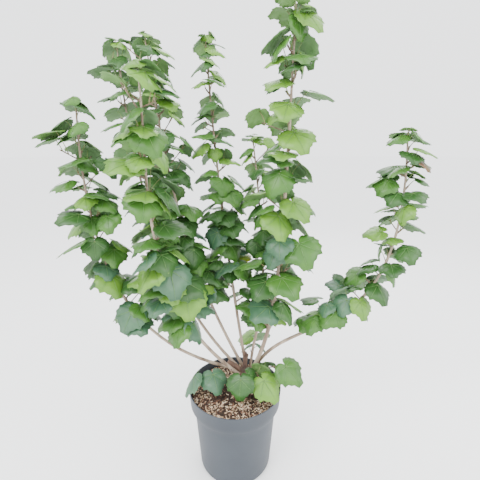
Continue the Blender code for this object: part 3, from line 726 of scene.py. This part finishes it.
# many small shapes joined into one mesh
class Pile:
    def __init__(self):
        self.points = []
        self.faces = []
        self.finishes = []

    def add(self, points, faces, finish=0):
        first = len(self.points)
        self.points += [tuple(p) for p in points]
        self.faces += [tuple(first + i for i in face) for face in faces]
        self.finishes += [finish] * len(faces)

    def make(self, name, finishes, smooth=True):
        mesh = bpy.data.meshes.new(name)
        mesh.from_pydata(self.points, [], self.faces)
        for finish in finishes:
            mesh.materials.append(finish)
        mesh.polygons.foreach_set("material_index", self.finishes)
        if smooth:
            mesh.shade_smooth()
        piece = linked(name, mesh)
        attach(piece, "root")
        return piece


def linked(name, mesh):
    piece = bpy.data.objects.new(name, mesh)
    bpy.context.scene.collection.objects.link(piece)
    return piece


def selectOnly(piece):
    bpy.ops.object.select_all(action="DESELECT")
    bpy.context.view_layer.objects.active = piece
    piece.select_set(True)


def applyOn(piece, kind, **settings):
    selectOnly(piece)
    modifier = piece.modifiers.new(kind.lower(), kind)
    for key, value in settings.items():
        setattr(modifier, key, value)
    bpy.ops.object.modifier_apply(modifier=modifier.name)
    piece.select_set(False)


def weld(piece, distance, outward=False):
    selectOnly(piece)
    bpy.ops.object.mode_set(mode="EDIT")
    bpy.ops.mesh.select_all(action="SELECT")
    bpy.ops.mesh.remove_doubles(threshold=distance)
    if outward:
        bpy.ops.mesh.normals_make_consistent(inside=False)
    bpy.ops.object.mode_set(mode="OBJECT")


def onlyFinish(piece, finish):
    piece.data.materials.clear()
    piece.data.materials.append(finish)


# fine blade: how far its edge reaches at each angle from the tip, with teeth, and a ring inside it
blade = {
    "steps": 37, "sweep": 174, "teeth": 0.045, "toothed": 150, "inner": 0.60,
    "thick": 0.0006, "middle": 0.0001, "quilt": 0.030, "quiltWidth": 22, "edgeQuilt": 0.7,
    "wave": 0.018, "waves": (0.6, 1.5), "folds": 3,
}
edgeReach = [
    (0, 1.0), (11, 0.92), (22, 0.80), (32, 0.72), (42, 0.77), (52, 0.80), (63, 0.74), (78, 0.68),
    (95, 0.62), (112, 0.52), (135, 0.41), (158, 0.30), (172, 0.14), (180, 0.03),
]
# veins: rows are shares of the way out with the half width there
veins = {
    "angles": (0, 50, -50, 98, -98), "rows": ((0.02, 0.011), (0.3, 0.009), (0.6, 0.006), (0.92, 0.002)),
    "edge": 0.0006, "ridge": 0.0011, "thick": 0.0003,
}


def reachAt(angle):
    angle = abs(angle)
    for (a, low), (b, high) in zip(edgeReach, edgeReach[1:]):
        if angle <= b:
            return low + (high - low) * (angle - a) / (b - a)
    return edgeReach[-1][1]


def ripple(leaf, angle, ring):
    near = min(abs(abs(angle) - vein) for vein in veins["angles"])
    quilt = blade["quilt"] * (min(near, blade["quiltWidth"]) / blade["quiltWidth"] - 0.5)
    quilt *= 1.0 if ring < 1 else blade["edgeQuilt"]
    turn = blade["folds"] * math.radians(angle) + leaf["phase"]
    return leaf["size"] * (quilt + blade["wave"] * leaf["wave"] * math.sin(turn) * ring)


def liftAt(leaf, angle, share):
    near, edge = ripple(leaf, angle, blade["inner"]), ripple(leaf, angle, 1.0)
    if share < blade["inner"]:
        return near * share / blade["inner"]
    return near + (edge - near) * (share - blade["inner"]) / (1 - blade["inner"])


def fineLeaf(leaf):
    steps = blade["steps"]
    points = [onBlade(leaf, 0, 0.0, blade["middle"])]
    rows = []
    for ring in (blade["inner"], 1.0):
        row = []
        for k in range(steps):
            angle = -blade["sweep"] + 2 * blade["sweep"] * k / (steps - 1)
            reach = reachAt(angle) * ring
            if ring == 1.0 and abs(angle) < blade["toothed"]:
                reach *= 1 + blade["teeth"] * (1 if k % 2 else -1)
            turn = math.radians(angle)
            side, ahead = reach * math.sin(turn), reach * math.cos(turn)
            row.append(len(points))
            points.append(onBlade(leaf, side, ahead, ripple(leaf, angle, ring)))
        rows.append(row)
    faces = [(0, rows[0][k + 1], rows[0][k]) for k in range(steps - 1)]
    for k in range(steps - 1):
        faces.append((rows[0][k], rows[0][k + 1], rows[1][k + 1], rows[1][k]))
    return points, faces


def veinStrips(leaf):
    points, faces = [], []
    for angle in veins["angles"]:
        turn = math.radians(angle)
        first = len(points)
        for share, wide in veins["rows"]:
            reach = reachAt(angle) * share
            for hand in (-1, 0, 1):
                side = reach * math.sin(turn) + hand * wide * math.cos(turn)
                ahead = reach * math.cos(turn) - hand * wide * math.sin(turn)
                lift = liftAt(leaf, angle, share) + (veins["edge"] if hand else veins["ridge"])
                points.append(onBlade(leaf, side, ahead, lift))
        for k in range(len(veins["rows"]) - 1):
            for j in range(2):
                a = first + 3 * k + j
                faces.append((a, a + 1, a + 4, a + 3))
    return points, faces


# stalk under each leaf, a curve sunk a little into the blade
stalkLook = {"radius": 0.0011, "widths": (1.35, 0.95, 0.8, 0.75, 0.85), "sides": 5, "sunk": 0.0015}


def curvedPetiole(leaf):
    root, middle, base = petiolePath(leaf)
    end = base + stalkLook["sunk"] * (base - middle).normalized()
    path = []
    for k in range(len(stalkLook["widths"])):
        t = k / (len(stalkLook["widths"]) - 1)
        path.append((1 - t) ** 2 * root + 2 * (1 - t) * t * middle + t * t * end)
    return tube(path, [stalkLook["radius"] * w for w in stalkLook["widths"]], stalkLook["sides"])


# tints by chance and by height: a fresh light green towards the top, partly young leaves and partly a painted
# backlight glow; bluish low down, a painted sky reflection; a few yellow or dead
tintRule = {
    "yellowTo": 0.018, "deadTo": 0.024, "freshBacklitFrom": 0.03, "fresh": 0.12, "freshBacklitTop": 0.5, "topFrom": 0.5,
    "freshBacklitFront": 0.2, "skyReflectionTo": 0.35, "skyReflectionFrom": 0.72, "mid": 0.5, "shootHeight": 0.2,
}
# the low left shoot takes the bluish tint, a painted sky reflection
ownTints = {"low_front": "freshLeaf", "low_left": "blueLeaf"}
frontCanes = ("front_left", "front_right")


def tintFor(rng, name, height):
    draw = rng.random()
    if name in ownTints:
        return ownTints[name]
    if draw < tintRule["yellowTo"]:
        return "yellowLeaf"
    if draw < tintRule["deadTo"]:
        return "deadLeaf"
    # more of the fresh tint towards the top: young leaves' lighter green and a painted backlight glow
    fresh = tintRule["fresh"] + tintRule["freshBacklitTop"] * max(0, height - tintRule["topFrom"])
    fresh += tintRule["freshBacklitFront"] if name in frontCanes else 0
    if draw < tintRule["freshBacklitFrom"] + fresh:
        return "freshLeaf"
    # bluish leaves low down: a painted sky reflection
    if height < tintRule["skyReflectionTo"] and draw > tintRule["skyReflectionFrom"]:
        return "blueLeaf"
    return "midLeaf" if rng.random() < tintRule["mid"] else "deepLeaf"


# twigs, with scars along them and a bud at the end
twigLook = {
    "share": 0.85, "widths": (1.3, 1.0, 1.12, 0.9, 1.15, 0.75), "sides": 7,
    "bud": 0.006, "budRadii": (0.0013, 0.0017, 0.0004), "budSides": 6, "shootSteps": 12, "shootSides": 8,
}


def addTwig(pile, twig):
    foot, middle, end = twig["path"]
    last = len(twigLook["widths"]) - 1
    rings = [foot.lerp(end, k / last) for k in range(last + 1)]
    radii = [twigLook["share"] * twig["radii"][0] * w for w in twigLook["widths"]]
    pile.add(*tube(rings, radii, twigLook["sides"]))
    bud = end + (end - foot).normalized() * twigLook["bud"]
    pile.add(*tube([end, end.lerp(bud, 0.5), bud], twigLook["budRadii"], twigLook["budSides"]))


for name, (spurs, leaves) in grown.items():
    rng = random.Random("looks " + name)
    leafPile, veinPile, petiolePile, twigPile = Pile(), Pile(), Pile(), Pile()
    low = min(leaf["base"].z for leaf in leaves)
    high = max(leaf["base"].z for leaf in leaves)
    for leaf in leaves:
        height = (leaf["base"].z - low) / max(0.001, high - low)
        tint = tintFor(rng, name, height if name in canes else tintRule["shootHeight"])
        leaf["wave"], leaf["phase"] = rng.uniform(*blade["waves"]), rng.uniform(0, math.tau)
        leafPile.add(*fineLeaf(leaf), faceNumber[tint])
        veinPile.add(*veinStrips(leaf))
        petiolePile.add(*curvedPetiole(leaf))
    for twig in spurs + fineTwigs.get(name, []):
        addTwig(twigPile, twig)
    if name not in canes:
        twigPile.add(*tube(*shootRings(shootPaths[name], twigLook["shootSteps"]), twigLook["shootSides"]))
    leafPiece = leafPile.make("leaves_" + name, leafFinishes)
    thick = blade["thick"]
    applyOn(leafPiece, "SOLIDIFY", thickness=thick, offset=-1, material_offset=1, material_offset_rim=1)
    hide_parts("foliage_" + name)
    veinPiece = veinPile.make("veins_" + name, [veinFinish])
    applyOn(veinPiece, "SOLIDIFY", thickness=veins["thick"], offset=-1)
    petiolePile.make("petioles_" + name, [petioleFinish])
    twigPile.make("twigs_" + name, [twigFinish])
print("leaves made")

# canes: one long tapering stem each, with ridged bark and swollen joints
caneBark = {
    "sides": 12, "step": 0.007, "joint": 0.22, "jointSpread": 0.006, "tip": 0.0006,
    "relief": 0.07, "ridge": 0.5, "grain": 0.6,
}
for name, cane in canes.items():
    rng = random.Random("bark " + name)
    path = canePaths[name]
    count = int(lengthOf(path) / caneBark["step"])
    centres = [at(path, k / count)[0] for k in range(count + 1)]
    spurRoots = [spur["path"][0] for spur in grown[name][0]]
    radii = []
    for k, centre in enumerate(centres):
        near = min((centre - root).length for root in spurRoots)
        swell = caneBark["joint"] * math.exp(-((near / caneBark["jointSpread"]) ** 2))
        radii.append(caneRadius(cane, k / count) * (1 + swell))
    radii[-1] = caneBark["tip"]
    points, faces = tube(centres, radii, caneBark["sides"])
    ridges = [rng.uniform(-1, 1) for side in range(caneBark["sides"])]
    for i, centre in enumerate(centres):
        for side in range(caneBark["sides"]):
            n = i * caneBark["sides"] + side
            rough = caneBark["ridge"] * ridges[side] + rng.uniform(-caneBark["grain"], caneBark["grain"])
            points[n] = centre + (points[n] - centre) * (1 + caneBark["relief"] * rough)
    pile = Pile()
    pile.add(points, faces)
    piece = pile.make("bark_" + name, [barkFinish])
    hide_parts("cane_" + name)

# stool: the solid's shape with lumpy old bark over it
stoolBark = {
    "weld": 0.00001, "voxel": 0.0016, "smooth": 0.5, "times": 4, "stretch": 0.35,
    "lump": 0.0011, "lumpScale": 90, "grain": 0.0006, "grainScale": 420, "overSoil": 0.0001,
}
piece = linked("stoolBark", bpy.data.objects["stool"].data.copy())
weld(piece, stoolBark["weld"])
applyOn(piece, "REMESH", mode="VOXEL", voxel_size=stoolBark["voxel"], use_smooth_shade=True)
applyOn(piece, "SMOOTH", factor=stoolBark["smooth"], iterations=stoolBark["times"])
for vertex in piece.data.vertices:
    spot = Vector((vertex.co.x, vertex.co.y, vertex.co.z * stoolBark["stretch"]))
    lift = stoolBark["lump"] * noise.noise(spot * stoolBark["lumpScale"])
    lift += stoolBark["grain"] * noise.noise(spot * stoolBark["grainScale"])
    vertex.co += vertex.normal * lift
for vertex in piece.data.vertices:
    vertex.co.z = max(vertex.co.z, soil["middle"] + stoolBark["overSoil"])
onlyFinish(piece, oldBarkFinish)
piece.data.shade_smooth()
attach(piece, "root")
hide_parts("stool")
print("bark made")

# pot: one turned shell with a rounded foot, a ledge under the band, a rolled lip and drain notches
# flat and inside are radii with heights, ledge is offsets from the band's foot
potShell = {
    "flat": ((0.0, 0.0), (0.080, 0.0), (0.082, 0.0)), "rounding": 0.012, "steps": 8, "belowBand": 0.0015,
    "shadow": 0.0006, "ledge": ((-0.0028, 0.0002), (-0.0008, 0.0010), (0.0, 0.0030)),
    "bandSteps": 4, "bandRun": 0.0425, "bandInset": 0.0012,
    "lipSteps": 8, "lipInset": 0.0022, "lipWide": 0.0014, "lipHigh": 0.0019, "lipInside": (0.0046, 0.004),
    "inside": ((0.1292, 0.236), (0.1278, 0.217), (0.1180, 0.205), (0.1010, 0.0030), (0.0, 0.0030)),
    "sides": 120, "merge": 0.00005, "weld": 0.00002, "smoothTo": 35,
}
drain = {"count": 8, "out": 0.106, "length": 0.030, "wide": 0.012, "high": 0.012}


def potProfile():
    rounding, steps = potShell["rounding"], potShell["steps"]
    foot = pot["height"] - pot["bandHeight"]
    slope = (pot["shoulder"] - pot["foot"]) / foot
    profile = list(potShell["flat"])
    for k in range(steps + 1):
        turn = math.radians(90) * k / steps
        out = pot["foot"] + slope * rounding - rounding + rounding * math.sin(turn)
        profile.append((out, rounding * (1 - math.cos(turn))))
    for k in range(1, steps + 1):
        height = rounding + (foot - rounding - potShell["belowBand"]) * k / steps
        profile.append((pot["foot"] + slope * height, height))
    profile.append((pot["shoulder"] + potShell["shadow"], foot - potShell["shadow"]))
    profile += [(pot["bandFoot"] + out, foot + up) for out, up in potShell["ledge"]]
    top = potShell["ledge"][-1][1]
    for k in range(1, potShell["bandSteps"] + 1):
        share = k / potShell["bandSteps"]
        out = pot["bandFoot"] + (pot["rim"] - potShell["bandInset"] - pot["bandFoot"]) * share
        profile.append((out, foot + top + potShell["bandRun"] * share))
    for k in range(1, potShell["lipSteps"]):
        turn = math.pi * k / potShell["lipSteps"]
        out = pot["rim"] - potShell["lipInset"] + potShell["lipWide"] * math.cos(turn)
        profile.append((out, pot["height"] - potShell["lipHigh"] + potShell["lipHigh"] * math.sin(turn)))
    inward, down = potShell["lipInside"]
    profile.append((pot["rim"] - inward, pot["height"] - down))
    return profile + list(potShell["inside"])


outline = potProfile()
edges = [(k, k + 1) for k in range(len(outline) - 1)]
mesh = bpy.data.meshes.new("potShell")
mesh.from_pydata([(radius, 0, height) for radius, height in outline], edges, [])
potPiece = linked("potShell", mesh)
applyOn(
    potPiece, "SCREW", steps=potShell["sides"], render_steps=potShell["sides"],
    use_merge_vertices=True, merge_threshold=potShell["merge"], use_smooth_shade=True,
)
weld(potPiece, potShell["weld"], outward=True)
for k in range(drain["count"]):
    turn = math.tau * (k + 0.5) / drain["count"]
    place = (math.cos(turn) * drain["out"], math.sin(turn) * drain["out"], 0)
    size = (drain["length"], drain["wide"], drain["high"])
    bpy.ops.mesh.primitive_cube_add(size=1, location=place, rotation=(0, 0, turn), scale=size)
    cutter = bpy.context.object
    applyOn(potPiece, "BOOLEAN", operation="DIFFERENCE", object=cutter)
    bpy.data.objects.remove(cutter)
onlyFinish(potPiece, potFinish)
selectOnly(potPiece)
bpy.ops.object.shade_smooth_by_angle(angle=math.radians(potShell["smoothTo"]))
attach(potPiece, "root")
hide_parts("pot")

# root ball: the solid stays, as peat
rootBall = bpy.data.objects["root_ball"]
for slotNumber in range(len(rootBall.material_slots)):
    rootBall.material_slots[slotNumber].material = peatFinish

# mulch: wood chips over it, thinner and darker in the patches, none at the stool
mulch = {
    "chips": 3400, "seed": 4, "sizes": (0.0085, 0.0032, 0.0012), "sizeSpread": (0.45, 1.25), "within": 0.985,
    "patches": ((-0.020, -0.012, 0.055), (0.060, 0.005, 0.050)), "patchLeast": 0.22, "patchMore": 0.5,
    "stoolRoom": 0.030, "slopeFrom": 0.07, "slopeRun": 0.058, "lift": (0.0003, 0.0030),
    "tiltY": 0.28, "tiltX": 0.3, "taper": (0.55, 1.0), "ends": (0.8, 1.0),
    "shares": (0.34, 0.56, 0.84), "patchDark": 0.6, "darkest": 0.6,
}
brownChip, darkChip = 2, 3
chipFaces = [(3, 2, 1, 0), (4, 5, 6, 7), (0, 1, 5, 4), (1, 2, 6, 5), (2, 3, 7, 6), (3, 0, 4, 7)]
rng = random.Random(mulch["seed"])
chipPile = Pile()
for k in range(mulch["chips"]):
    radius = soil["radius"] * math.sqrt(rng.random()) * mulch["within"]
    turn = rng.uniform(0, math.tau)
    x, y = radius * math.cos(turn), radius * math.sin(turn)
    bare = min(math.hypot(x - patchX, y - patchY) / wide for patchX, patchY, wide in mulch["patches"])
    if math.hypot(x - stool["x"], y - stool["y"]) < mulch["stoolRoom"]:
        continue
    if bare < 1 and rng.random() > mulch["patchLeast"] + mulch["patchMore"] * bare * bare:
        continue
    slope = max(0, (radius - mulch["slopeFrom"]) / mulch["slopeRun"])
    ground = soil["middle"] - (soil["middle"] - soil["edge"]) * slope
    long, wide, thick = [rng.uniform(*mulch["sizeSpread"]) * size / 2 for size in mulch["sizes"]]
    spin = Matrix.Rotation(rng.uniform(0, math.tau), 3, "Z")
    spin = spin @ Matrix.Rotation(rng.gauss(0, mulch["tiltY"]), 3, "Y")
    spin = spin @ Matrix.Rotation(rng.gauss(0, mulch["tiltX"]), 3, "X")
    centre = Vector((x, y, ground + rng.uniform(*mulch["lift"])))
    corners = []
    for hand in (-1, 1):
        for across, deep in ((-1, -1), (1, -1), (1, 1), (-1, 1)):
            taper = rng.uniform(*mulch["taper"])
            along = hand * long * rng.uniform(*mulch["ends"])
            corners.append(centre + spin @ Vector((along, across * wide * taper, deep * thick)))
    if max(math.hypot(p.x, p.y) for p in corners) > soil["radius"]:
        continue
    tone = rng.random()
    kind = sum(tone >= share for share in mulch["shares"])
    if bare < 1 and rng.random() < mulch["patchDark"]:
        kind = darkChip if rng.random() < mulch["darkest"] else brownChip
    chipPile.add(corners, chipFaces, kind)
chipPiece = chipPile.make("mulchChips", chipFinishes, smooth=False)
print("pot and mulch made")

# floor and soft light; lamps are a place, what they aim at, a size and a power
stage = {"size": 60, "middle": (0, 20, 0), "colour": (0.96, 0.96, 0.96, 1), "rough": 0.9}
sky = {"colour": (0.97, 0.985, 1.0, 1), "strength": 2.7}
lamps = (
    ((-1.3, -1.6, 2.5), (0, 0, 0.7), 1.4, 60),
    ((1.6, -1.0, 1.7), (0, 0, 0.7), 1.6, 26),
    ((0.4, 1.9, 2.3), (0, 0, 0.8), 1.5, 40),
)
bpy.ops.mesh.primitive_plane_add(size=stage["size"], location=stage["middle"])
floor = bpy.context.object
floor.name = "floor"
floorFinish = bpy.data.materials.new("paleFloor")
floorFinish.use_nodes = True
floorShader = floorFinish.node_tree.nodes["Principled BSDF"]
floorShader.inputs["Base Color"].default_value = stage["colour"]
floorShader.inputs["Roughness"].default_value = stage["rough"]
floor.data.materials.append(floorFinish)
world = bpy.data.worlds.new("softSky")
bpy.context.scene.world = world
world.use_nodes = True
world.node_tree.nodes["Background"].inputs["Color"].default_value = sky["colour"]
world.node_tree.nodes["Background"].inputs["Strength"].default_value = sky["strength"]
for place, aim, size, power in lamps:
    bpy.ops.object.light_add(type="AREA", location=place)
    lamp = bpy.context.object
    lamp.data.size = size
    lamp.data.energy = power
    lamp.rotation_euler = (Vector(aim) - Vector(place)).to_track_quat("-Z", "Y").to_euler()
